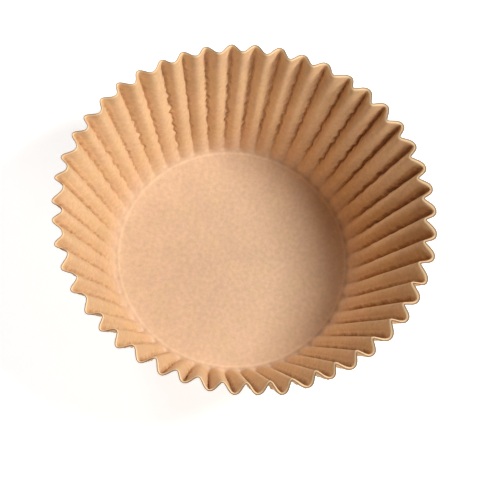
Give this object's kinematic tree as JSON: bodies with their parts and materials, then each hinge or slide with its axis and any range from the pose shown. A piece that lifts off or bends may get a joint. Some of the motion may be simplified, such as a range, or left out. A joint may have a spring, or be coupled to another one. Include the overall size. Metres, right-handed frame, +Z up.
{
  "type": "cupcake liner",
  "caption": "Fluted paper liner for a cupcake: a round flat base and a flared wall of even pleats that rises to a wavy open rim.",
  "frame": {"origin": "centre of the base's underside, on the surface that the liner stands on", "axes": "+Z up through the open rim; +X through the crest of an outer fold"},
  "size_m": [0.0818, 0.0818, 0.0315],
  "materials": {
    "kraft_paper": "unbleached brown kraft paper, matt"
  },
  "bodies": {
    "root": {"liner": "kraft_paper"}
  },
  "joints": []
}
